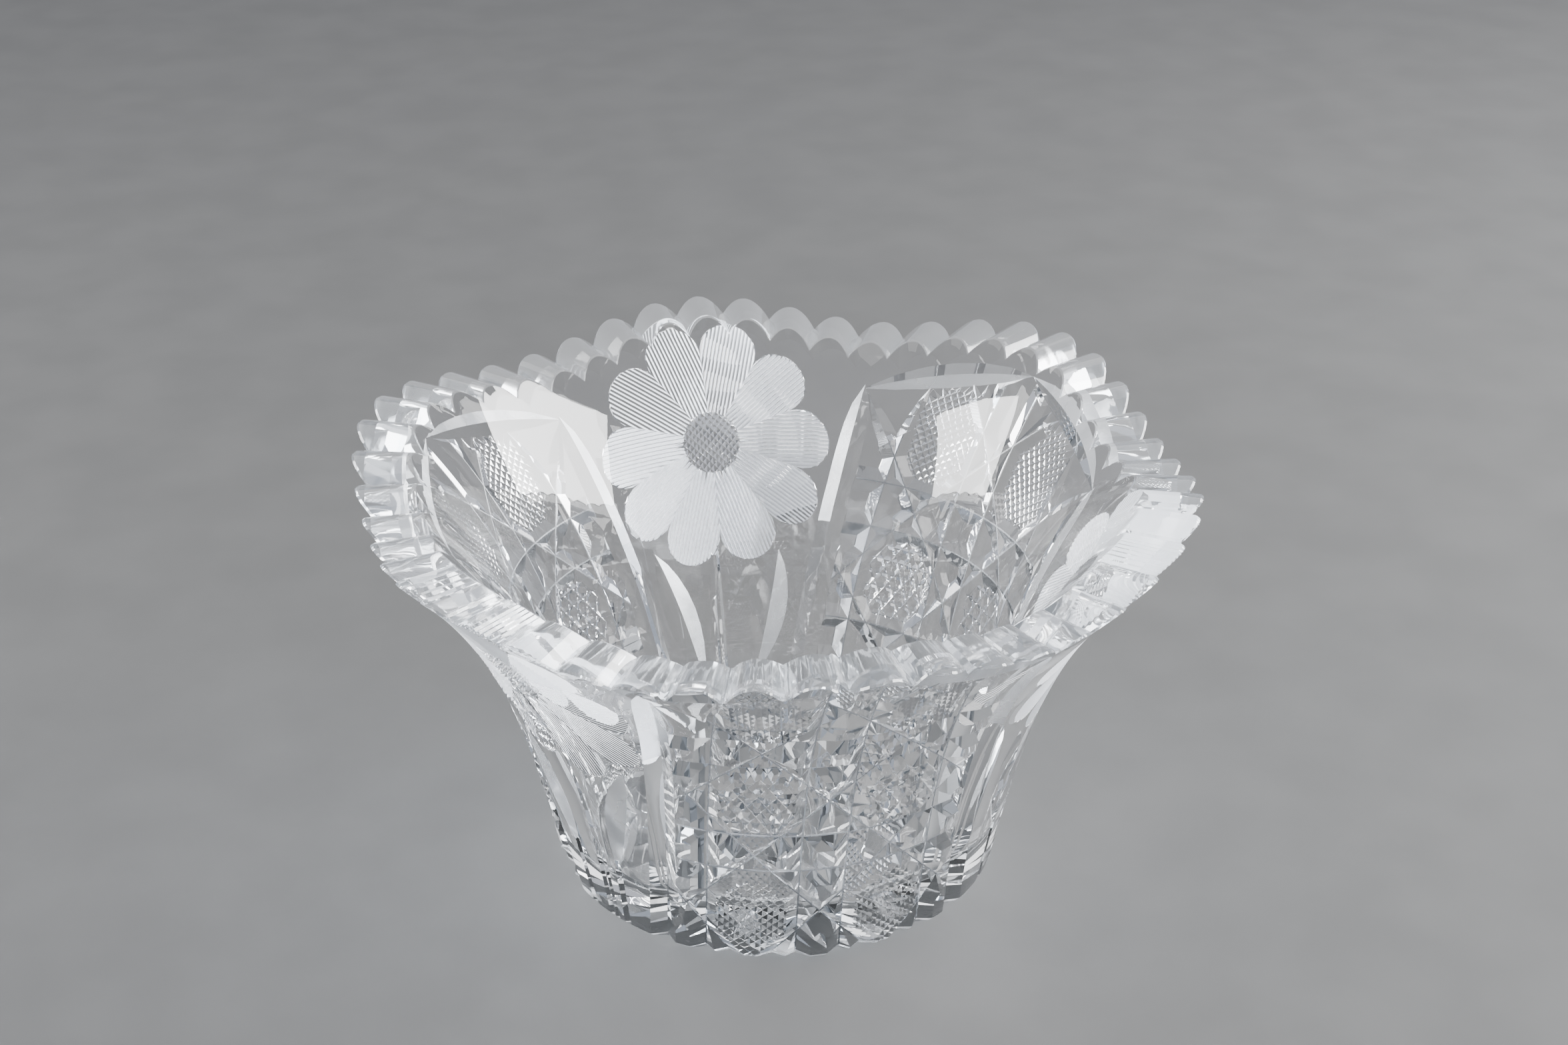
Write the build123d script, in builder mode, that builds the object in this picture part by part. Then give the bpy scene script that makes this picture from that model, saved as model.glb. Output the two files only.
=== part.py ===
"""Cut-glass dish: one thick, flared, six-lobed bowl of clear glass with a saw-tooth rim.

Frame: millimetres, +Z up. The origin is the centre of the ground foot, on the surface that the
dish stands on. A lattice panel faces -Y, and a daisy panel faces +Y. The shallow cuts of the
panels, under 1.5 mm deep, are left to the visual model.
"""
from build123d import *
from math import atan, cos, degrees, radians, sin, sqrt
import os

# Driving dimensions
foot_radius = 31.0            # the wall where it leaves the foot
foot_bevel = 0.8
rim_radius = 55.6             # mean radius of the outer edge of the rim
rim_height = 57.2             # mean height of the tooth tips
panels = 3                    # lattice panels; as many daisy panels lie between them
lattice_azimuth = 30.0        # centre of a lattice panel, in degrees from +X
panel_lobe_out = 1.4          # the rim swells by this much at the centre of every panel
panel_lobe_up = 1.7           # and rises by this much
lattice_extra_out = 0.9       # a lattice panel swells a little more than a daisy panel
lattice_extra_up = 0.4
flare_start = 0.44            # share of the flare that is a straight cone
flare_power = 3.28            # how late the rest of the flare comes

wall_at_foot = 5.8            # wall thickness, measured level
wall_at_rim = 8.0
floor_thickness = 5.0
floor_corner = 4.0            # radius inside, where the floor meets the wall

tooth_count = 48
tooth_depth = 2.0
first_notch = 2.25            # azimuth of a notch between two teeth, in degrees

# Construction values
outline_points = 48           # points in each level outline of the wall
wall_shares = (0.22, 0.34, 0.46, 0.58, 0.69, 0.80, 0.90, 1.0, 1.10)  # of rim_height
corner_root = 2.0             # how far the floor's corner ring reaches into the glass around it
notch_overrun = 12.0          # how far the notch tools reach past the outside of the rim


def lobes(azimuth):
    """The two waves round the rim: one per lattice panel, and one per panel of either kind."""
    turn = radians(azimuth - lattice_azimuth)
    return cos(panels * turn), cos(2 * panels * turn)


def tip_height(azimuth):
    """Height of the tooth tips at one azimuth."""
    lattice_wave, panel_wave = lobes(azimuth)
    return rim_height + lattice_extra_up * lattice_wave + panel_lobe_up * panel_wave


def wall_radius(azimuth, height):
    """Radius of the outside of the wall at one azimuth and height."""
    lattice_wave, panel_wave = lobes(azimuth)
    rim = rim_radius + lattice_extra_out * lattice_wave + panel_lobe_out * panel_wave
    share = height / tip_height(azimuth)
    flare = flare_start * share + (1 - flare_start) * share**flare_power
    return foot_radius + (rim - foot_radius) * flare


def wall_thickness(height):
    """Level thickness of the wall, which grows upwards because the wall leans out."""
    return wall_at_foot + (wall_at_rim - wall_at_foot) * (height / rim_height) ** 2


def level_outline(height, inset):
    """Sketch of the wall's closed outline at one height, moved in by the inset."""
    points = []
    for index in range(outline_points):
        azimuth = 360 * index / outline_points
        radius = wall_radius(azimuth, height) - inset
        points.append((radius * cos(radians(azimuth)), radius * sin(radians(azimuth))))
    with BuildSketch(Plane.XY.offset(height)) as outline:
        with BuildLine():
            Spline(*points, periodic=True)
        make_face()
    return outline.sketch


def notch_plane(azimuth):
    """Upright plane facing outwards, with its origin at the bottom of the notch at one azimuth."""
    outwards = Vector(cos(radians(azimuth)), sin(radians(azimuth)), 0)
    bottom = Vector(0, 0, tip_height(azimuth) - tooth_depth)
    return Plane(origin=outwards * foot_radius + bottom, x_dir=outwards.rotate(Axis.Z, 90), z_dir=outwards)


# Cavity: the space that the dish holds things in, open at the top
with BuildPart() as cavity:
    cavity_heights = [floor_thickness] + [rim_height * share for share in wall_shares]
    loft([level_outline(height, wall_thickness(height)) for height in cavity_heights])

# Dish: the lobed wall and the foot, less the cavity and the notches of the rim
with BuildPart() as glass_dish:
    dish_heights = [0] + [rim_height * share for share in wall_shares]
    loft([level_outline(height, 0) for height in dish_heights])
    add(cavity.part, mode=Mode.SUBTRACT)
    # Bevel round the foot
    with BuildSketch(Plane.XZ):
        bevel_corner = foot_radius + foot_bevel
        Polygon((foot_radius - foot_bevel, 0), (bevel_corner, 0), (bevel_corner, 2 * foot_bevel), align=None)
    revolve(axis=Axis.Z, mode=Mode.SUBTRACT)
    # Rounded corner between the floor and the wall, tangent to both
    with BuildSketch(Plane.XZ):
        with BuildLine():
            low = wall_radius(0, floor_thickness) - wall_thickness(floor_thickness)
            top = floor_thickness + floor_corner
            lean = (wall_radius(0, top) - wall_thickness(top) - low) / floor_corner
            centre = low + floor_corner * (lean - sqrt(1 + lean**2))
            turn = 90 - degrees(atan(lean))
            corner = CenterArc((centre, top), floor_corner, 270, turn)
            Polyline(corner @ 1, (low + corner_root, top), (low + corner_root, floor_thickness - corner_root),
                     (centre, floor_thickness - corner_root), corner @ 0)
        make_face()
    revolve(axis=Axis.Z)
    # Notches of the rim: straight V cuts, which together trim the wall to the wave of the tips
    with BuildSketch(*[notch_plane(first_notch + 360 * tooth / tooth_count) for tooth in range(tooth_count)]):
        half_pitch = rim_radius * sin(radians(180 / tooth_count))
        tool_height = rim_height / 2
        tool_half_width = tool_height * half_pitch / tooth_depth
        Polygon((0, 0), (tool_half_width, tool_height), (-tool_half_width, tool_height), align=None)
    extrude(amount=rim_radius - foot_radius + notch_overrun, mode=Mode.SUBTRACT)

glass_dish.part.label = "glass_dish"
os.makedirs("parts", exist_ok=True)
export_step(glass_dish.part, "parts/glass_dish.step")
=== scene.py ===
import math

import bmesh
import bpy
import numpy as np
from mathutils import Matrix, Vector, kdtree
from mathutils.geometry import delaunay_2d_cdt


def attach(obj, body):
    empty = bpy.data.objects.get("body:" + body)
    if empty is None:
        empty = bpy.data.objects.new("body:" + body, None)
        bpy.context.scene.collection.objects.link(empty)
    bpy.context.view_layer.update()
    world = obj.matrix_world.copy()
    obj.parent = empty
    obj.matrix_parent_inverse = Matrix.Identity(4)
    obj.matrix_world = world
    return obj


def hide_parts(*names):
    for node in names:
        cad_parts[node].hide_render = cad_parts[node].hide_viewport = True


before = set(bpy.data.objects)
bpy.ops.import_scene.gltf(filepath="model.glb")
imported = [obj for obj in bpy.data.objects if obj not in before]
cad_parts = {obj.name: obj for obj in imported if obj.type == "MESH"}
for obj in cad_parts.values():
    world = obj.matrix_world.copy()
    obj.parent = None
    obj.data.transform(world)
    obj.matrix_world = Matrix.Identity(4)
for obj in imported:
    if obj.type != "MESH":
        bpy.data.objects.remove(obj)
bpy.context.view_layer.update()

MM = 0.001

# ---------------------------------------------------------------- the blank, as in the CAD model
FOOT_RADIUS = 31.0
FOOT_BEVEL = 0.8
RIM_RADIUS = 55.6
RIM_HEIGHT = 57.2
PANELS = 3
LATTICE_AZIMUTH = 30.0
PANEL_LOBE_OUT, PANEL_LOBE_UP = 1.4, 1.7
LATTICE_EXTRA_OUT, LATTICE_EXTRA_UP = 0.9, 0.4
FLARE_START, FLARE_POWER = 0.44, 3.28
WALL_AT_FOOT, WALL_AT_RIM = 5.8, 8.0
FLOOR_THICKNESS, FLOOR_CORNER = 5.0, 4.0
TOOTH_COUNT, TOOTH_DEPTH, FIRST_NOTCH = 48, 2.0, 2.25
TOOTH_ROUNDNESS = 2.0         # 1 is a straight V tooth, and more is a rounder top

# ---------------------------------------------------------------- the cutting, in layout millimetres
# A panel is laid out flat: x runs round the wall from the panel's centre line, and v runs up the wall
# from the foot. Each place is a centre azimuth, a rise and a width, tuned to match one
# photograph. They also take up a tilt of the pattern there that has no known cause.
LATTICE_PLACES = ((28.0, -3.2, 1.12), (151.5, -3.2, 1.12), (266.5, 3.4, 1.0))
DAISY_PLACES = ((90.0, -3.5, 1.04), (210.2, 1.2, 0.96), (326.0, 1.0, 0.96))
BELOW_FOOT, ABOVE_RIM = -8.0, 78.0   # cuts that run off the foot or the rim end here

# the last slot is dark glass: painted shade along the bottoms of the mitres
POLISHED, FROSTED, SATIN, RIM, GROUND, SHADED_VALLEY = range(6)   # material slots of the dish
CREASE_STEP = 1.6             # longest piece of a crease that is laid on the curved wall
WALL_SPACING, STAR_SPACING = 2.2, 3.0   # spacing of the mesh points between the creases
WELD = 0.004                  # points closer than this are joined
SHARP_ANGLE = 18.0            # edges that turn more than this stay sharp


def lobes(azimuth):
    """The two waves round the rim: one per lattice panel, and one per panel of either kind."""
    turn = np.radians(azimuth - LATTICE_AZIMUTH)
    return np.cos(PANELS * turn), np.cos(2 * PANELS * turn)


def tip_height(azimuth):
    """Height of the tooth tips at one azimuth."""
    lattice_wave, panel_wave = lobes(azimuth)
    return RIM_HEIGHT + LATTICE_EXTRA_UP * lattice_wave + PANEL_LOBE_UP * panel_wave


def flare(share):
    """How far the wall has flared from the foot to the rim at a share of its height."""
    return FLARE_START * share + (1 - FLARE_START) * np.maximum(share, 0) ** FLARE_POWER


def wall_radius(azimuth, height):
    """Radius of the outside of the uncut wall."""
    lattice_wave, panel_wave = lobes(azimuth)
    rim = RIM_RADIUS + LATTICE_EXTRA_OUT * lattice_wave + PANEL_LOBE_OUT * panel_wave
    return FOOT_RADIUS + (rim - FOOT_RADIUS) * flare(height / tip_height(azimuth))


def inner_radius(azimuth, height):
    """Radius of the inside of the wall."""
    thickness = WALL_AT_FOOT + (WALL_AT_RIM - WALL_AT_FOOT) * (height / RIM_HEIGHT) ** 2
    return wall_radius(azimuth, height) - thickness


def rim_line(azimuth):
    """Height of the saw-tooth rim: round-topped teeth with sharp valleys between them."""
    across = 2 * (((azimuth - FIRST_NOTCH) * TOOTH_COUNT / 360) % 1) - 1
    return tip_height(azimuth) - TOOTH_DEPTH * np.abs(across) ** TOOTH_ROUNDNESS


def polar(azimuth, radius, height):
    """Points from azimuths, radii and heights, which may be arrays or single numbers."""
    turn = np.radians(azimuth)
    x, y, z = np.broadcast_arrays(radius * np.cos(turn), radius * np.sin(turn), height)
    return np.stack([x, y, z], -1)


def wall_point(azimuth, height, depth):
    """Point at a depth below the outside of the wall, measured square to it."""
    step = 0.05
    radius = wall_radius(azimuth, height)
    around = (wall_radius(azimuth + step, height) - wall_radius(azimuth - step, height)) / 2
    around = around / math.radians(step) / radius
    up = (wall_radius(azimuth, height + step) - wall_radius(azimuth, height - step)) / (2 * step)
    sink = depth / np.sqrt(1 + around**2 + up**2)
    turn = np.radians(azimuth)
    outwards = np.stack([np.cos(turn), np.sin(turn), 0 * turn], -1)
    sideways = np.stack([-np.sin(turn), np.cos(turn), 0 * turn], -1)
    point = polar(azimuth, radius, height) - sink[:, None] * (outwards - around[:, None] * sideways)
    point[:, 2] += sink * up
    return point


# Height and length up the wall along a mean meridian, which turn one into the other
meridian_height = np.linspace(BELOW_FOOT * 1.5, RIM_HEIGHT * 1.2, 400)
meridian_radius = FOOT_RADIUS + (RIM_RADIUS - FOOT_RADIUS) * flare(meridian_height / RIM_HEIGHT)
meridian_steps = np.hypot(np.diff(meridian_height), np.diff(meridian_radius))
meridian_length = np.concatenate([[0], np.cumsum(meridian_steps)])
meridian_length -= np.interp(0, meridian_height, meridian_length)


class Panel:
    """One panel of the wall, which turns its flat layout into places on the wall and back."""

    def __init__(self, centre, rise, width):
        self.centre, self.rise, self.width = centre, rise, width

    def to_wall(self, layout):
        """Azimuths and heights of layout points."""
        level = np.interp(layout[:, 1], meridian_length, meridian_height)
        radius = np.interp(level, meridian_height, meridian_radius)
        azimuth = self.centre + np.degrees(layout[:, 0] * self.width / radius)
        return azimuth, level + self.rise

    def to_layout(self, azimuth, height):
        """Layout points of azimuths and heights."""
        level = height - self.rise
        radius = np.interp(level, meridian_height, meridian_radius)
        length = np.interp(level, meridian_height, meridian_length)
        return np.stack([np.radians(azimuth - self.centre) * radius / self.width, length], -1)


# ---------------------------------------------------------------- cuts, made of flat facets
class Facet:
    """One flat of a cut: a convex outline on the layout, and its depth as a plane over the layout."""

    def __init__(self, corners, plane, finish, family):
        x, v = corners.T
        if (x * np.roll(v, -1) - np.roll(x, -1) * v).sum() < 0:
            corners = corners[::-1]
        self.corners, self.plane, self.finish, self.family = corners, np.array(plane), finish, family
        self.sides = half_planes(corners)
        self.low, self.high = corners.min(0), corners.max(0)

    def depth(self, points):
        return points @ self.plane[:2] + self.plane[2]


def half_planes(corners):
    """Rows (a, b, c), with a*x + b*v <= c inside a convex outline that runs anticlockwise."""
    edges = np.roll(corners, -1, 0) - corners
    normals = np.stack([edges[:, 1], -edges[:, 0]], -1)
    normals /= np.maximum(np.linalg.norm(normals, axis=1), 1e-9)[:, None]
    return np.column_stack([normals, (normals * corners).sum(1)])


def clipped(corners, region):
    """A convex outline cut down to a convex region."""
    for a, b, c in half_planes(np.array(region, float)):
        kept = []
        for here, after in zip(corners, np.roll(corners, -1, 0)):
            gap_here, gap_after = c - (a, b) @ here, c - (a, b) @ after
            if gap_here >= 0:
                kept.append(here)
            if gap_here * gap_after < 0:
                kept.append(here + (after - here) * gap_here / (gap_here - gap_after))
        if len(kept) < 3:
            return None
        corners = np.array(kept)
    return corners


def groove(start, end, half_width, depth, finish=(POLISHED, POLISHED), family=None, region=None,
           blunt=0.0, ramp=0.0):
    """A straight mitre cut: two flanks that meet along its spine, or at a flat blunt bottom.

    A ramp closes each end with a steep triangle, as the edge of the wheel leaves it.
    """
    start, end = np.array(start, float), np.array(end, float)
    along = (end - start) / np.linalg.norm(end - start)
    sideways = np.array([-along[1], along[0]])
    inner_start, inner_end = start + along * ramp, end - along * ramp
    pieces = []
    for side, flank_finish in zip((1, -1), finish):
        near, far = sideways * side * blunt, sideways * side * half_width
        corners = [inner_start + near, inner_end + near, end + far, start + far]
        pieces.append((corners, sideways * side * -depth / half_width, start, depth, flank_finish))
    if blunt:
        step = sideways * blunt
        corners = [inner_start - step, inner_end - step, inner_end + step, inner_start + step]
        # the blunt bottom takes the dark glass, a painted shade along the bottom of the mitre
        pieces.append((corners, sideways * 0, start, depth * (1 - blunt / half_width), SHADED_VALLEY))
    if ramp:
        for tip, inner, uphill in ((start, inner_start, along), (end, inner_end, -along)):
            corners = [tip - sideways * half_width, tip + sideways * half_width, inner]
            pieces.append((corners, uphill * depth / ramp, tip, 0.0, POLISHED))
    facets = []
    for corners, fall, origin, level, piece_finish in pieces:
        corners = np.array(corners)
        if region is not None:
            corners = clipped(corners, region)
        if corners is not None:
            facets.append(Facet(corners, (*fall, level - fall @ origin), piece_finish, family))
    return facets


def hatching(region, centre, slope, pitch, half_width, depth, family, finish=(POLISHED, POLISHED),
             offset=0.0):
    """Parallel grooves at one slope, clipped to a convex region."""
    along = np.array([math.cos(math.radians(slope)), math.sin(math.radians(slope))])
    across = np.array([-along[1], along[0]])
    reach = (np.array(region, float) - centre) @ across
    far = 1.2 * np.linalg.norm(np.ptp(region, axis=0))
    first = math.ceil((reach.min() - half_width) / pitch - offset)
    last = math.floor((reach.max() + half_width) / pitch - offset)
    facets = []
    for index in range(first, last + 1):
        middle = np.array(centre) + across * (index + offset) * pitch
        line = middle - along * far, middle + along * far
        facets += groove(*line, half_width, depth, finish, family, region)
    return facets


def lens(spine, half_widths, depths, finish=(POLISHED, POLISHED), family=None):
    """A leaf-shaped mitre whose width and depth change along a curved spine. Left flank first."""
    spine = np.array(spine, float)
    along = np.gradient(spine, axis=0)
    along /= np.linalg.norm(along, axis=1)[:, None]
    facets = []
    for side, flank_finish in zip((1, -1), finish):
        edge = spine + side * np.array(half_widths)[:, None] * np.stack([-along[:, 1], along[:, 0]], -1)
        for i in range(len(spine) - 1):
            near = [(spine[i], depths[i]), (spine[i + 1], depths[i + 1]), (edge[i], 0)]
            far = [(spine[i + 1], depths[i + 1]), (edge[i + 1], 0), (edge[i], 0)]
            for triangle in (near, far):
                corners = np.array([corner for corner, _ in triangle])
                area = np.linalg.det(np.column_stack([corners, np.ones(3)]))
                if abs(area) > 1e-4:
                    values = [value for _, value in triangle]
                    plane = np.linalg.solve(np.column_stack([corners, np.ones(3)]), values)
                    facets.append(Facet(corners, plane, flank_finish, family))
    return facets


def curve(start, middle, end, count):
    """Points on a smooth bow from start to end that passes through middle half-way."""
    start, middle, end = (np.array(point, float) for point in (start, middle, end))
    t = np.linspace(0, 1, count)[:, None]
    return start * (1 - t) * (1 - 2 * t) + middle * 4 * t * (1 - t) + end * t * (2 * t - 1)


def leaf(tip, middle, base, half_width, depth, steps=9):
    """A leaf pointed at both ends, with one polished flank and one satin flank."""
    share = np.sin(np.pi * np.linspace(0, 1, steps)) ** 0.8
    spine = curve(tip, middle, base, steps)
    return lens(spine, half_width * share, depth * share, (POLISHED, SATIN), f"leaf {tip}")


def tapered(start, end, half_width, depth):
    """The last part of a mitre, which narrows to a point where the wheel leaves the glass."""
    spine = np.array(start) + (np.array(end) - start) * np.linspace(0, 1, 6)[:, None]
    share = np.cos(np.pi / 2 * np.linspace(0, 1, 6)) ** 0.7
    return lens(spine, half_width * share, depth * share, family=f"taper {start} {end}")


def depth_and_facet(facets, points, slack=0.004):
    """Depth of the deepest facet at each point, and which facet that is (-1 for none)."""
    depth, owner = np.zeros(len(points)), np.full(len(points), -1)
    for index, facet in enumerate(facets):
        near = np.nonzero(((points >= facet.low - slack) & (points <= facet.high + slack)).all(1))[0]
        if not len(near):
            continue
        inside = (points[near] @ facet.sides[:, :2].T <= facet.sides[:, 2] + slack).all(1)
        near = near[inside]
        value = facet.depth(points[near])
        deeper = value > depth[near] + 1e-7
        depth[near[deeper]] = value[deeper]
        owner[near[deeper]] = index
    return depth, owner


def crease(one, two):
    """The line where two facets are equally deep, inside both outlines, or None."""
    a, b, c = one.plane - two.plane
    size = math.hypot(a, b)
    if size < 1e-9:
        return None
    origin, along = -c * np.array([a, b]) / size**2, np.array([-b, a]) / size
    first, last = -1e3, 1e3
    for side in np.vstack([one.sides, two.sides]):
        rate, room = side[:2] @ along, side[2] - side[:2] @ origin
        if abs(rate) < 1e-9:
            if room < -1e-6:
                return None
        elif rate > 0:
            last = min(last, room / rate)
        else:
            first = max(first, room / rate)
    if last - first < 0.02:
        return None
    return origin + along * first, origin + along * last


def creases(facets, longest):
    """Short pieces of every edge and crease of the facets that shows at the surface."""
    lines = []
    for facet in facets:
        for start, end in zip(facet.corners, np.roll(facet.corners, -1, 0)):
            lines.append((start, end, facet.plane))
    for index, one in enumerate(facets):
        for two in facets[index + 1:]:
            if one.family is not None and one.family == two.family:
                continue
            if (one.low > two.high).any() or (two.low > one.high).any():
                continue
            line = crease(one, two)
            if line is not None:
                lines.append((*line, one.plane))
    starts, ends, planes = [], [], []
    for start, end, plane in lines:
        count = max(1, math.ceil(np.linalg.norm(end - start) / longest))
        stops = start + (end - start) * np.linspace(0, 1, count + 1)[:, None]
        starts.append(stops[:-1])
        ends.append(stops[1:])
        planes.append(np.repeat(plane[None], count, 0))
    starts, ends, planes = map(np.concatenate, (starts, ends, planes))
    shows = np.zeros(len(starts), bool)
    for share in (0.1, 0.5, 0.9):
        points = starts + (ends - starts) * share
        value = (points * planes[:, :2]).sum(1) + planes[:, 2]
        shows |= depth_and_facet(facets, points)[0] - value < 0.01
    return starts[shows], ends[shows]


def contains(outline, points):
    """Whether each point is inside a closed outline, by counting the edges to its right."""
    inside = np.zeros(len(points), bool)
    for (x0, v0), (x1, v1) in zip(outline, np.roll(outline, -1, 0)):
        if v0 != v1:
            crosses = (v0 > points[:, 1]) != (v1 > points[:, 1])
            inside ^= crosses & (points[:, 0] < x0 + (points[:, 1] - v0) * (x1 - x0) / (v1 - v0))
    return inside


def cut_sheet(facets, lines, outline, spacing):
    """Points, depths, triangles and finishes of a layout, with an edge along every crease."""
    starts, ends = lines
    near = contains(outline, starts) | contains(outline, ends)
    starts, ends = starts[near], ends[near]
    low, high = outline.min(0), outline.max(0)
    rows = np.arange(low[1], high[1], spacing * 0.866)
    grid = np.array([
        (x + spacing / 2 * (row % 2), v)
        for row, v in enumerate(rows)
        for x in np.arange(low[0], high[0], spacing)
    ])
    grid = grid[contains(outline, grid)]
    taken = np.vstack([starts, ends, (starts + ends) / 2, outline])
    tree = kdtree.KDTree(len(taken))
    for index, point in enumerate(taken):
        tree.insert((*point, 0), index)
    tree.balance()
    free = [point for point in grid if tree.find((*point, 0))[2] > 0.45 * spacing]
    points = np.vstack([outline, starts, ends, *([free] if free else [])])
    edges = [(i, (i + 1) % len(outline)) for i in range(len(outline))]
    edges += [(len(outline) + i, len(outline) + len(starts) + i) for i in range(len(starts))]
    made = delaunay_2d_cdt([Vector(point) for point in points], edges, [], 0, 0.01)
    points, triangles = np.array([tuple(point) for point in made[0]]), np.array(made[2])
    middles = points[triangles].mean(1)
    keep = contains(outline, middles)
    triangles, middles = triangles[keep], middles[keep]
    depth, _ = depth_and_facet(facets, points)
    _, owner = depth_and_facet(facets, middles)
    finishes = np.array([facet.finish for facet in facets] + [POLISHED])
    return points, depth, triangles, finishes[owner]


# ---------------------------------------------------------------- the lattice panel
UPRIGHTS = (3.0, 15.2)                     # x of the mitres either side of the panel's centre
LEVELS = (12.8, 19.6, 34.2, 40.8)          # v of the level mitres
STAR_COLUMN, STAR_LEVEL = 18.1, 26.5       # slanting mitres cross here, and every STAR_COLUMN along
SLANT = 1.204                              # rise of the slanting mitres per millimetre along
MITRE = dict(half_width=1.9, depth=1.25, blunt=0.1)
LEVEL_END = 0.4                            # length of the steep ends of the level mitres
BAR_HALF_WIDTH, BAR_DEPTH = 1.9, 1.3
PLAIN_STRIP = 0.4                          # from a bar's edge to the border of its panel
FORK_LEVEL = 44.8                          # the outer uprights and slants taper away above this
FORK_TIPS = ((23.4, 53.7), (14.6, 56.0))   # where the two tapers of a fork end
CENTRE_FORK, CENTRE_TIP = (0, 48.3), (8.8, 58.6)
TAPER = dict(half_width=1.5, depth=1.0)
ARCH_SPRING, ARCH_TOP = 54.2, 62.3         # v of the arch at the bars and at the panel's centre
ARCH_HALF_WIDTH, ARCH_DEPTH, ARCH_BOW = 2.0, 0.8, 0.4
ARCH_STEPS = 7
COLUMN_HALF_WIDTH = 6.15                   # half the width that the uprights leave in a wide column
FINE_HATCH = dict(pitch=1.0, half_width=0.5, depth=0.36)
HOBNAILS = dict(pitch=2.08, half_width=0.52, depth=0.45, offset=0.5)
LOW_HATCH_LEVEL, HIGH_HATCH_LEVEL, HIGH_HATCH_TOP = 4.7, 48.3, 56.5


def bar_x(level):
    """Distance of the wide bars from the panel's centre line, which grows near the arch."""
    return 21.0 + 3.3 * (np.clip(level, 0, 62) / 55) ** 4


def edge_x(level):
    """Distance from the centre line of the plain strip where the panel ends."""
    return bar_x(level) + BAR_HALF_WIDTH + PLAIN_STRIP


def lattice_mitres():
    """The net of upright, level and slanting mitres."""
    end = float(bar_x(0)) - BAR_HALF_WIDTH
    field = [(-end, BELOW_FOOT), (end, BELOW_FOOT), (end, FORK_LEVEL), (0, ARCH_TOP), (-end, FORK_LEVEL)]
    facets = []
    for side in (-1, 1):
        for x in UPRIGHTS:
            line = (side * x, BELOW_FOOT), (side * x, ABOVE_RIM)
            facets += groove(*line, **MITRE, family="upright", region=field)
        for column in range(-2, 2):
            x = side * column * STAR_COLUMN
            line = (x - 40, STAR_LEVEL - 40 * SLANT * -side), (x + 40, STAR_LEVEL + 40 * SLANT * -side)
            facets += groove(*line, **MITRE, family=f"slant {side}", region=field)
    for v in LEVELS:
        reach = float(bar_x(v)) - BAR_HALF_WIDTH
        facets += groove((-reach, v), (reach, v), **MITRE, family="level", ramp=LEVEL_END)
    return facets


def lattice_tapers():
    """Upper ends of the outer mitres, which fan out from two forks and from the centre line."""
    facets = []
    for side in (-1, 1):
        for x, v in FORK_TIPS:
            facets += tapered((side * UPRIGHTS[1], FORK_LEVEL), (side * x, v), **TAPER)
        facets += tapered(CENTRE_FORK, (side * CENTRE_TIP[0], CENTRE_TIP[1]), **TAPER)
    return facets


def lattice_frame():
    """The wide bars at the sides, and two bowed bars that meet over the panel like a gothic arch."""
    lengths = np.array([BELOW_FOOT, 10, 20, 28, 34, 40, 45, 49, 52, ARCH_SPRING + 0.6])
    pointed = np.array([1, 1, 1, 1, 1, 1, 1, 0.9, 0.65, 0])
    arch_share = np.sin(np.pi * np.linspace(0, 1, ARCH_STEPS)) ** 0.7
    arch_shape = ARCH_HALF_WIDTH * arch_share, ARCH_DEPTH * arch_share
    facets = []
    for side in (-1, 1):
        spine = np.column_stack([side * bar_x(lengths), lengths])
        shape = np.stack([BAR_HALF_WIDTH * pointed, BAR_DEPTH * pointed])
        facets += lens(spine[:5], *shape[:, :5], family="bar")
        facets += lens(spine[4:], *shape[:, 4:], (POLISHED, SATIN)[::side], "bar")
        spring, top = (side * float(bar_x(ARCH_SPRING)), ARCH_SPRING), (0, ARCH_TOP)
        middle = (spring[0] / 2, (ARCH_SPRING + ARCH_TOP) / 2 + ARCH_BOW)
        facets += lens(curve(spring, middle, top, ARCH_STEPS), *arch_shape, (SATIN, POLISHED), "arch")
    return facets


def diamond(x, low, high):
    """The part of a wide column between two levels that the slanting mitres leave whole."""
    left, right = x - COLUMN_HALF_WIDTH, x + COLUMN_HALF_WIDTH
    column = np.array([(left, low), (right, low), (right, high), (left, high)], float)
    half = STAR_COLUMN / 2
    rise = SLANT * half
    middle = STAR_LEVEL + 2 * rise * round(((low + high) / 2 - STAR_LEVEL) / (2 * rise))
    lozenge = [(x, middle - rise), (x + half, middle), (x, middle + rise), (x - half, middle)]
    return clipped(column, lozenge)


def lattice_fillings():
    """Fine cross-hatching and six-sided hobnails in the lozenges of the two wide columns."""
    facets = []
    for x in (-STAR_COLUMN / 2, STAR_COLUMN / 2):
        low = diamond(x, BELOW_FOOT, LEVELS[0])
        for slope in (-45, 45):
            facets += hatching(low, (x, LOW_HATCH_LEVEL), slope, family=f"low {x} {slope}", **FINE_HATCH)
        high = diamond(x, LEVELS[3], HIGH_HATCH_TOP)
        for slope in (-38, 52):
            facets += hatching(high, (x, HIGH_HATCH_LEVEL), slope, family=f"high {x} {slope}", **FINE_HATCH)
        middle = diamond(x, LEVELS[1], LEVELS[2])
        for slope in (0, 60, 120):
            facets += hatching(middle, (x, STAR_LEVEL), slope, family=f"nail {x} {slope}", **HOBNAILS)
    return facets


# ---------------------------------------------------------------- the daisy panel
FLOWER_LEVEL = 46.3
PETALS = 10
PETAL_REACH, PETAL_CAP = 14.36, 4.44       # where the round end of a petal is centred, and its radius
PETAL_LINES = dict(pitch=0.58, half_width=0.29, depth=0.24, finish=(FROSTED, POLISHED))
DISC_RADIUS = 4.7
DISC_HATCH = dict(pitch=0.8, half_width=0.4, depth=0.34)
CAP_STEP = 0.13                            # the petal lines rise to the surface within this
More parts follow.
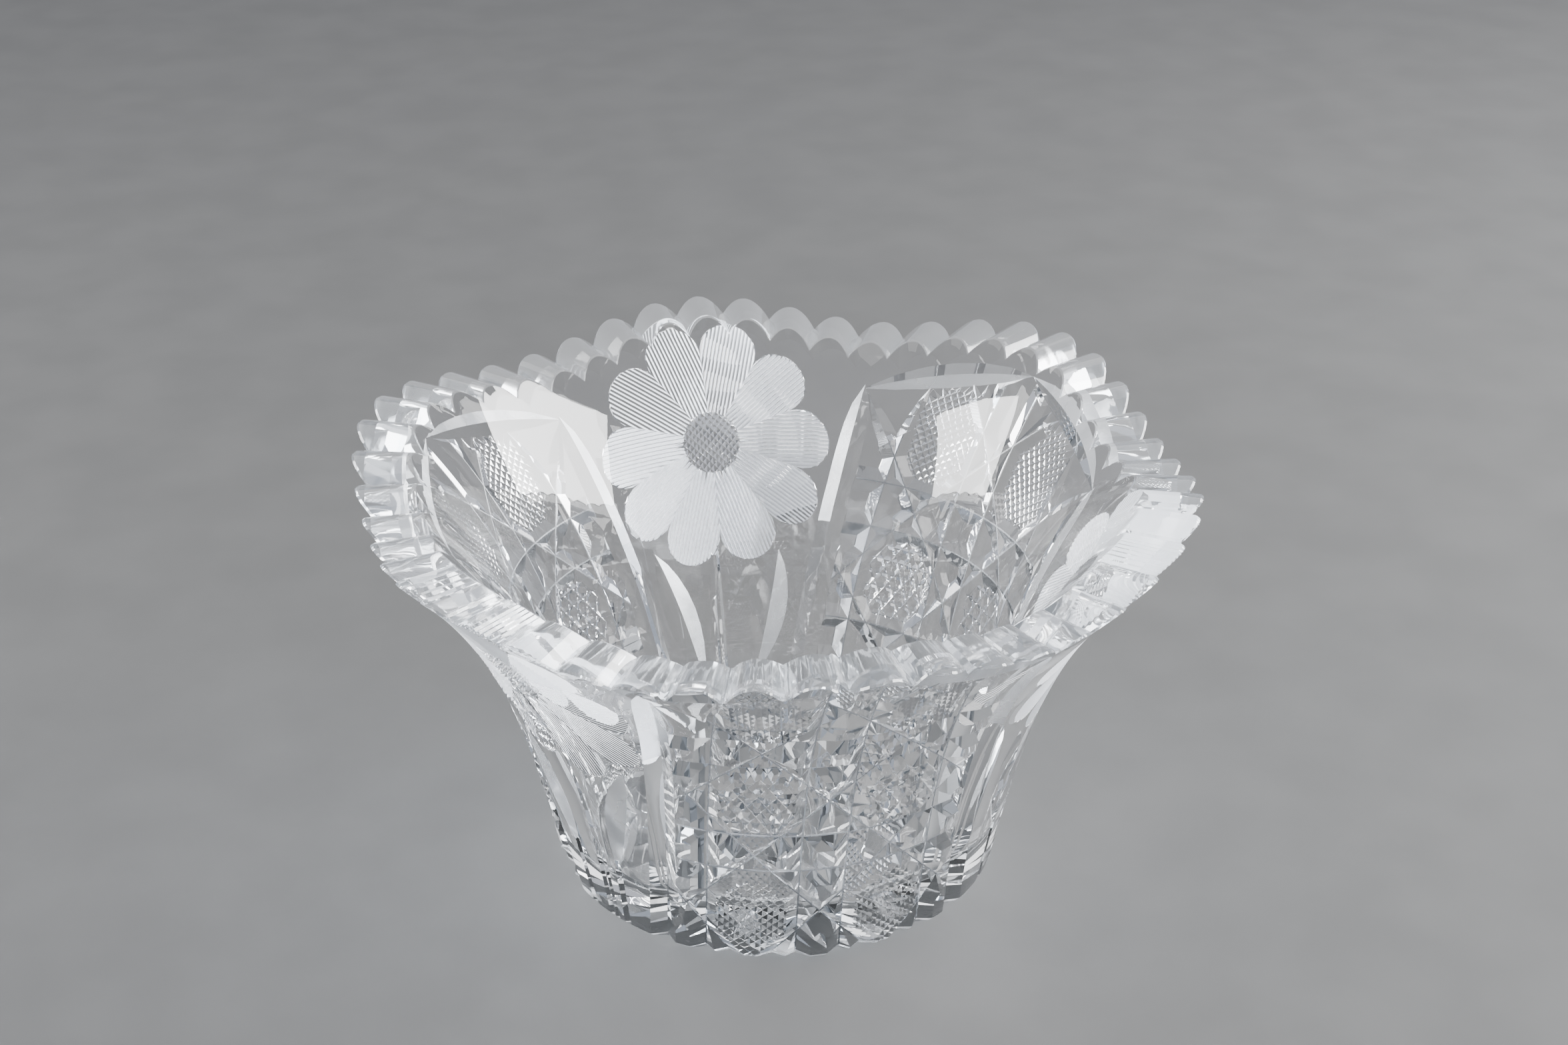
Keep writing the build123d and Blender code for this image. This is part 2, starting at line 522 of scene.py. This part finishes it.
# Each leaf runs from its tip through its middle to its base, with its half width and depth
LEAVES = (
    ((11.4, 31.3), (7.6, 21.0), (4.2, 9.5), 2.6, 1.3),
    ((-9.2, 29.6), (-7.0, 20.5), (-4.0, 9.5), 2.8, 1.3),
)


def petal_outline(turn, grow=0.0):
    """Outline of one petal at a turn from straight up: two straight seams and a round end."""
    half = 180 / PETALS
    start = DISC_RADIUS * math.cos(math.radians(half))
    points = [(-start * math.tan(math.radians(half)), start), (start * math.tan(math.radians(half)), start)]
    cap = PETAL_CAP + grow
    for angle in np.radians(np.linspace(-half, 180 + half, 15)):
        points.append((cap * math.cos(angle), PETAL_REACH + cap * math.sin(angle)))
    cosine, sine = math.cos(math.radians(turn)), math.sin(math.radians(turn))
    return np.array([(x * cosine + v * sine, FLOWER_LEVEL - x * sine + v * cosine) for x, v in points])


def daisy_flower():
    """Ten petals of close parallel lines, and a cross-hatched disc."""
    facets = []
    for petal in range(PETALS):
        turn = 360 / PETALS * (petal + 0.5)
        outline = petal_outline(turn)
        facets += hatching(outline, (0, FLOWER_LEVEL), 90 - turn, family=f"petal {petal}", **PETAL_LINES)
    angles = np.radians(np.arange(0, 360, 36))
    disc = np.column_stack([DISC_RADIUS * np.cos(angles), FLOWER_LEVEL + DISC_RADIUS * np.sin(angles)])
    for slope in (-45, 45):
        facets += hatching(disc, (0, FLOWER_LEVEL), slope, family=f"disc {slope}", **DISC_HATCH)
    return facets


def petal_rings():
    """Lines just outside the round petal ends, where the surface is whole again."""
    starts, ends = [], []
    for petal in range(PETALS):
        ring = petal_outline(360 / PETALS * (petal + 0.5), CAP_STEP)[3:-1]
        starts.append(ring[:-1])
        ends.append(ring[1:])
    return np.vstack(starts), np.vstack(ends)


def daisy_leaves():
    """A stem of two fine mitres, and two broad leaves on stalks."""
    facets = groove((0.3, BELOW_FOOT), (1.0, FLOWER_LEVEL - 17.0), 0.5, 0.4, family="stem")
    facets += groove((1.5, BELOW_FOOT), (1.8, 22.5), 0.35, 0.28, family="stem")
    for place in LEAVES:
        facets += leaf(*place)
    for side in (-1, 1):
        facets += groove((side * 4.3, 11.5), (side * 2.9, BELOW_FOOT), 0.6, 0.45, family=f"stalk {side}")
    return facets


# ---------------------------------------------------------------- the star under the foot
STAR_RAYS, STAR_REACH, STAR_WAIST = 24, 26.0, 13.0


def foot_star():
    """Pointed mitres that run out from the centre of the foot."""
    facets = []
    for ray in range(STAR_RAYS):
        turn = math.radians(360 * ray / STAR_RAYS)
        along = np.array([math.cos(turn), math.sin(turn)])
        waist = STAR_WAIST * math.tan(math.pi / STAR_RAYS)
        spine = [along * reach for reach in (0.0, STAR_WAIST, STAR_REACH)]
        facets += lens(spine, (0.0, waist, 0.0), (0.8, 1.1, 0.0), family=f"ray {ray}")
    return facets


# ---------------------------------------------------------------- the dish's mesh
def settle(low, high, miss):
    """The value between low and high where miss, which rises, is nought."""
    for _ in range(40):
        middle = (low + high) / 2
        low, high = (middle, high) if miss(middle) < 0 else (low, middle)
    return (low + high) / 2


def panel_border(lattice, side):
    """Azimuths and heights up the plain strip between a lattice panel and its neighbour."""
    def at(length):
        azimuth, height = lattice.to_wall(np.array([[side * edge_x(length), length]]))
        return azimuth[0], height[0]

    bottom = settle(-8.0, 8.0, lambda length: at(length)[1] - FOOT_BEVEL)
    top = settle(40.0, 76.0, lambda length: at(length)[1] - rim_line(at(length)[0]))
    lengths = np.linspace(bottom, top, 40)
    return lattice.to_wall(np.column_stack([side * edge_x(lengths), lengths]))


def panel_outline(panel, left, right):
    """Closed layout outline of a panel from its two borders, the foot's bevel and the rim."""
    def between(start, end, step):
        return np.arange(math.ceil(start / step + 0.2), math.floor(end / step - 0.2) + 1) * step

    low = between(left[0][0], right[0][0], 1.25)
    notch_step = 360 / TOOTH_COUNT / 10
    high = between(left[0][-1] - FIRST_NOTCH, right[0][-1] - FIRST_NOTCH, notch_step)[::-1] + FIRST_NOTCH
    azimuths = np.concatenate([low, right[0], high, left[0][::-1]])
    heights = np.concatenate([np.full(len(low), FOOT_BEVEL), right[1], rim_line(high), left[1][::-1]])
    return panel.to_layout(azimuths, heights)


def add_sheet(bm, positions, triangles, finishes):
    """Adds triangles to the mesh with their material slots."""
    made = {index: bm.verts.new(positions[index] * MM) for index in np.unique(triangles)}
    for triangle, finish in zip(triangles, finishes):
        face = bm.faces.new([made[index] for index in triangle])
        face.material_index = int(finish)


def cut_wall(bm):
    """The outside of the wall, panel by panel round the dish."""
    lattice_facets = lattice_mitres() + lattice_tapers() + lattice_frame() + lattice_fillings()
    daisy_facets = daisy_flower() + daisy_leaves()
    lattice_lines = creases(lattice_facets, CREASE_STEP)
    daisy_lines = [np.vstack(pair) for pair in zip(creases(daisy_facets, CREASE_STEP), petal_rings())]
    lattices = [Panel(*place) for place in LATTICE_PLACES]
    lattices.append(Panel(lattices[0].centre + 360, lattices[0].rise, lattices[0].width))
    for lattice, after, place in zip(lattices, lattices[1:], DAISY_PLACES):
        daisy = Panel(*place)
        left, right, far = panel_border(lattice, -1), panel_border(lattice, 1), panel_border(after, -1)
        for panel, facets, lines, borders in (
            (lattice, lattice_facets, lattice_lines, (left, right)),
            (daisy, daisy_facets, daisy_lines, (right, far)),
        ):
            outline = panel_outline(panel, *borders)
            points, depth, triangles, finishes = cut_sheet(facets, lines, outline, WALL_SPACING)
            add_sheet(bm, wall_point(*panel.to_wall(points), depth), triangles, finishes)


def columns(bm, edges, path, finishes):
    """Strips of quads that carry boundary edges along a path, one column of points per vertex."""
    made = {}
    for vertex in {vertex for edge in edges for vertex in edge.verts}:
        azimuth = math.degrees(math.atan2(vertex.co.y, vertex.co.x))
        radius, height = vertex.co.xy.length / MM, vertex.co.z / MM
        made[vertex] = [vertex] + [bm.verts.new(point * MM) for point in path(azimuth, radius, height)]
    for edge in edges:
        first, second = (made[vertex] for vertex in edge.verts)
        for row, finish in enumerate(finishes):
            quad = (first[row], second[row], second[row + 1], first[row + 1])
            bm.faces.new(quad).material_index = finish
    return made


def inside_path(azimuth, radius, height):
    """From the outer edge of the rim over its face, down the inside of the wall and in to the centre."""
    ease = 0.3               # the edges of the rim are eased by about this much
    inner = inner_radius(azimuth, height)
    face = np.array([radius - ease, (radius + inner) / 2, inner + ease])
    points = [polar(azimuth, face, height + 0.6 * ease)]
    top = FLOOR_THICKNESS + FLOOR_CORNER
    heights = height + (top - height) * np.linspace(0, 1, 25) ** 1.1
    points.append(polar(azimuth, inner_radius(azimuth, heights), heights))
    lean = (inner_radius(azimuth, top) - inner_radius(azimuth, FLOOR_THICKNESS)) / FLOOR_CORNER
    turn = 90 - math.degrees(math.atan(lean))
    angles = np.radians(np.linspace(270 + turn, 270, 8)[1:])
    low = inner_radius(azimuth, FLOOR_THICKNESS)
    centre = low + FLOOR_CORNER * (lean - math.sqrt(1 + lean**2))
    corner = centre + FLOOR_CORNER * np.cos(angles)
    points.append(polar(azimuth, corner, top + FLOOR_CORNER * np.sin(angles)))
    points.append(polar(azimuth, centre * np.array([0.66, 0.33]), FLOOR_THICKNESS))
    return np.vstack(points)


def foot_path(azimuth, radius, height):
    """Over the bevel to the flat of the foot."""
    return [polar(azimuth, radius - FOOT_BEVEL, 0.0)]


def build_dish():
    """The whole dish as one mesh: the cut wall, the rim, the inside and the foot."""
    bm = bmesh.new()
    cut_wall(bm)
    bmesh.ops.remove_doubles(bm, verts=bm.verts, dist=WELD * MM)
    border = [edge for edge in bm.edges if edge.is_boundary]
    rim = [edge for edge in border if edge.verts[0].co.z > RIM_HEIGHT / 2 * MM]
    foot = [edge for edge in border if edge.verts[0].co.z < RIM_HEIGHT / 2 * MM]
    rows = len(inside_path(0.0, wall_radius(0, RIM_HEIGHT), RIM_HEIGHT))
    inner = columns(bm, rim, inside_path, [RIM] * 4 + [POLISHED] * (rows - 4))
    centre = bm.verts.new((0, 0, FLOOR_THICKNESS * MM))
    for edge in rim:
        bm.faces.new((inner[edge.verts[0]][-1], inner[edge.verts[1]][-1], centre)).material_index = POLISHED
    ring = columns(bm, foot, foot_path, [GROUND])
    ring = sorted((column[-1].co.xy / MM for column in ring.values()), key=lambda p: math.atan2(p.y, p.x))
    outline = np.array([tuple(point) for point in ring])
    facets = foot_star()
    lines = creases(facets, STAR_SPACING)
    points, depth, triangles, finishes = cut_sheet(facets, lines, outline, STAR_SPACING)
    reach = np.linalg.norm(points[triangles].mean(1), axis=1)
    finishes = np.where(reach > STAR_REACH + 0.5, GROUND, finishes)
    add_sheet(bm, np.column_stack([points, depth]), triangles, finishes)
    bmesh.ops.remove_doubles(bm, verts=bm.verts, dist=WELD * MM)
    bmesh.ops.dissolve_degenerate(bm, edges=bm.edges, dist=0.0005 * MM)
    bmesh.ops.recalc_face_normals(bm, faces=bm.faces)
    odd_edges = sum(not edge.is_manifold for edge in bm.edges)
    print("dish:", len(bm.verts), "vertices,", len(bm.faces), "faces,", odd_edges, "edges without two faces,",
          "volume", round(bm.calc_volume() / MM**3), "mm3")
    mesh = bpy.data.meshes.new("cut_glass_dish")
    bm.to_mesh(mesh)
    bm.free()
    mesh.shade_smooth()
    mesh.set_sharp_from_angle(angle=math.radians(SHARP_ANGLE))
    dish = bpy.data.objects.new("cut_glass_dish", mesh)
    bpy.context.scene.collection.objects.link(dish)
    return dish


# ---------------------------------------------------------------- materials
def node(tree, kind, **inputs):
    """A shader node with some of its inputs set."""
    made = tree.nodes.new(kind)
    for name, value in inputs.items():
        made.inputs[name.replace("_", " ")].default_value = value
    return made


def noise_between(tree, scale, low, high, detail=3.0):
    """Noise over the object, spread from low to high. Returns the output socket."""
    place = tree.nodes.new("ShaderNodeTexCoord")
    noise = node(tree, "ShaderNodeTexNoise", Scale=scale, Detail=detail)
    spread = tree.nodes.new("ShaderNodeMapRange")
    spread.inputs["From Min"].default_value = 0.35
    spread.inputs["From Max"].default_value = 0.65
    spread.inputs["To Min"].default_value = low
    spread.inputs["To Max"].default_value = high
    tree.links.new(place.outputs["Object"], noise.inputs["Vector"])
    tree.links.new(noise.outputs["Fac"], spread.inputs["Value"])
    return spread.outputs["Result"]


MOST_REFLECTIONS = 2          # rays reflected more often than this pass straight through the glass


def glass(name, colour, roughness, clearness, wave_scale, wave_height, shadow):
    """Glass with a little roughness and waviness that vary over the surface.

    Shadow rays pass through it, tinted by the shadow colour.
    """
    material = bpy.data.materials.new(name)
    material.use_nodes = True
    tree = material.node_tree
    tree.nodes.clear()
    body = node(tree, "ShaderNodeBsdfPrincipled", IOR=1.54, Transmission_Weight=clearness)
    body.inputs["Base Color"].default_value = (*colour, 1)
    tree.links.new(noise_between(tree, 180.0, *roughness), body.inputs["Roughness"])
    bump = node(tree, "ShaderNodeBump", Strength=1.0, Distance=wave_height)
    tree.links.new(noise_between(tree, wave_scale, 0.0, 1.0), bump.inputs["Height"])
    tree.links.new(bump.outputs["Normal"], body.inputs["Normal"])
    clear = node(tree, "ShaderNodeBsdfTransparent")
    clear.inputs["Color"].default_value = (*shadow, 1)
    path = tree.nodes.new("ShaderNodeLightPath")
    mix = tree.nodes.new("ShaderNodeMixShader")
    output = tree.nodes.new("ShaderNodeOutputMaterial")
    late = node(tree, "ShaderNodeMath")
    late.operation = "GREATER_THAN"
    late.inputs[1].default_value = MOST_REFLECTIONS
    through = tree.nodes.new("ShaderNodeMath")
    through.operation = "MAXIMUM"
    tree.links.new(path.outputs["Glossy Depth"], late.inputs[0])
    tree.links.new(late.outputs["Value"], through.inputs[0])
    tree.links.new(path.outputs["Is Shadow Ray"], through.inputs[1])
    tree.links.new(through.outputs["Value"], mix.inputs["Fac"])
    tree.links.new(body.outputs["BSDF"], mix.inputs[1])
    tree.links.new(clear.outputs["BSDF"], mix.inputs[2])
    tree.links.new(mix.outputs["Shader"], output.inputs["Surface"])
    return material


def dish_materials():
    """One glass for each material slot, in the order of the slots."""
    return [
        glass("polished_glass", (1.0, 1.0, 1.0), (0.0, 0.008), 1.0, 60.0, 0.000005, (0.86, 0.88, 0.9)),
        glass("frosted_cutting", (0.64, 0.66, 0.7), (0.35, 0.6), 0.4, 700.0, 0.00001, (0.75, 0.77, 0.8)),
        glass("satin_cutting", (0.85, 0.87, 0.9), (0.2, 0.3), 0.85, 700.0, 0.00001, (0.8, 0.82, 0.85)),
        glass("rim_glass", (0.94, 0.96, 0.98), (0.03, 0.12), 0.93, 150.0, 0.00001, (0.84, 0.86, 0.88)),
        glass("ground_foot", (0.97, 0.98, 1.0), (0.12, 0.4), 0.92, 500.0, 0.00003, (0.84, 0.86, 0.88)),
        # the dark colour of the mitre bottoms is painted shade along the bottoms of the cuts
        glass("mitre_bottoms", (0.22, 0.24, 0.27), (0.15, 0.3), 0.9, 500.0, 0.00001, (0.8, 0.82, 0.85)),
    ]


FLOOR_GREY = (0.058, 0.064)   # low, because the softboxes are strong enough to show the cuts


def floor_material():
    """Plain grey with a very faint mottling, which the strong lights make pale."""
    material = bpy.data.materials.new("pale_floor")
    material.use_nodes = True
    tree = material.node_tree
    body = tree.nodes["Principled BSDF"]
    body.inputs["Specular IOR Level"].default_value = 0.25
    tree.links.new(noise_between(tree, 25.0, 0.55, 0.65), body.inputs["Roughness"])
    tint = tree.nodes.new("ShaderNodeCombineColor")
    grey = noise_between(tree, 60.0, *FLOOR_GREY)
    for channel in ("Red", "Green", "Blue"):
        tree.links.new(grey, tint.inputs[channel])
    tree.links.new(tint.outputs["Color"], body.inputs["Base Color"])
    return material


# ---------------------------------------------------------------- the studio
CAMERA_PLACE = (-0.0672, -0.2740, 0.2026)
CAMERA_TILT, CAMERA_TURN = 61.46, -14.0
CAMERA_LENS = 55.1
SURROUNDINGS = (0.62, 0.65, 0.72)
FLOOR_REACH = 3.0
SOFTBOXES = (                 # name, place, width, height and power
    ("right_softbox", (0.49, -0.05, 0.26), 0.44, 0.32, 16.0),
    ("left_softbox", (-0.49, 0.09, 0.235), 0.25, 0.30, 7.5),
    ("top_softbox", (0.0, 0.2, 1.3), 1.8, 1.8, 20.0),
)


def softbox(name, place, width, height, power):
    """A rectangular area light that faces the dish."""
    data = bpy.data.lights.new(name, "AREA")
    data.shape, data.size, data.size_y, data.energy = "RECTANGLE", width, height, power
    light = bpy.data.objects.new(name, data)
    light.location = place
    light.rotation_mode = "QUATERNION"
    light.rotation_quaternion = (Vector((0, 0, 0.04)) - Vector(place)).to_track_quat("-Z", "Y")
    bpy.context.scene.collection.objects.link(light)


def build_studio():
    """Floor, lights, even surroundings and the camera."""
    mesh = bpy.data.meshes.new("floor")
    corners = [(x * FLOOR_REACH, y * FLOOR_REACH, 0) for x, y in ((-1, -1), (1, -1), (1, 1), (-1, 1))]
    mesh.from_pydata(corners, [], [(0, 1, 2, 3)])
    mesh.materials.append(floor_material())
    floor = bpy.data.objects.new("floor", mesh)
    bpy.context.scene.collection.objects.link(floor)
    for box in SOFTBOXES:
        softbox(*box)
    world = bpy.data.worlds.new("studio")
    world.use_nodes = True
    world.node_tree.nodes["Background"].inputs["Color"].default_value = (*SURROUNDINGS, 1)
    bpy.context.scene.world = world
    data = bpy.data.cameras.new("camera")
    data.lens, data.sensor_width = CAMERA_LENS, 36.0
    data.clip_start = 0.01
    camera = bpy.data.objects.new("camera", data)
    camera.location = CAMERA_PLACE
    camera.rotation_euler = (math.radians(CAMERA_TILT), 0, math.radians(CAMERA_TURN))
    bpy.context.scene.collection.objects.link(camera)
    bpy.context.scene.camera = camera


# ---------------------------------------------------------------- put it together
dish = build_dish()
for material in dish_materials():
    dish.data.materials.append(material)
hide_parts("glass_dish")
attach(dish, "root")
build_studio()
